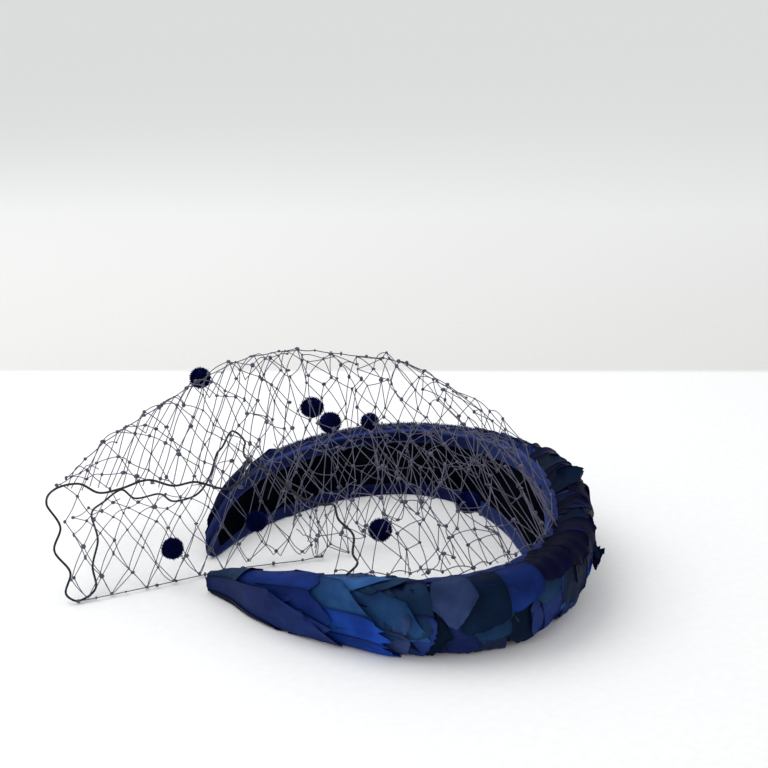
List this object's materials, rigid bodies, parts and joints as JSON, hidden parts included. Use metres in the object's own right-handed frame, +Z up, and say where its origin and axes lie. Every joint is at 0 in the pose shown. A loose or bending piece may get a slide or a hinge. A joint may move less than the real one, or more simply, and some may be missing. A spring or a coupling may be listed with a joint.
{
  "type": "feather headband with net veil",
  "caption": "Padded velvet headband, open at the nape, covered with shingled feathers outside and trimmed along its edge with a dotted diamond net veil; lying on its side.",
  "frame": {"origin": "middle of the whole part's box at its base, on the surface it lies on", "axes": "+Z is up from the surface and along the wearer's head opening, +X points from the two open tips to the crown, and -Y is the arm nearer the camera"},
  "size_m": [0.2108, 0.1813, 0.0861],
  "materials": {
    "velvet": "deep blue cotton velvet",
    "lining": "dark plain weave lining",
    "feather": "dyed goose feather, soft sheen",
    "net": "dark veiling net",
    "chenille": "navy chenille pile"
  },
  "bodies": {
    "root": {"velvet_band": "velvet", "inner_lining": "lining", "padded_body": "velvet", "feather_cover": "feather", "net_veil": "net", "chenille_dot_1": "chenille", "chenille_dot_2": "chenille", "chenille_dot_3": "chenille", "chenille_dot_4": "chenille", "chenille_dot_5": "chenille", "chenille_dot_6": "chenille", "chenille_dot_7": "chenille", "chenille_dot_8": "chenille"}
  },
  "joints": []
}
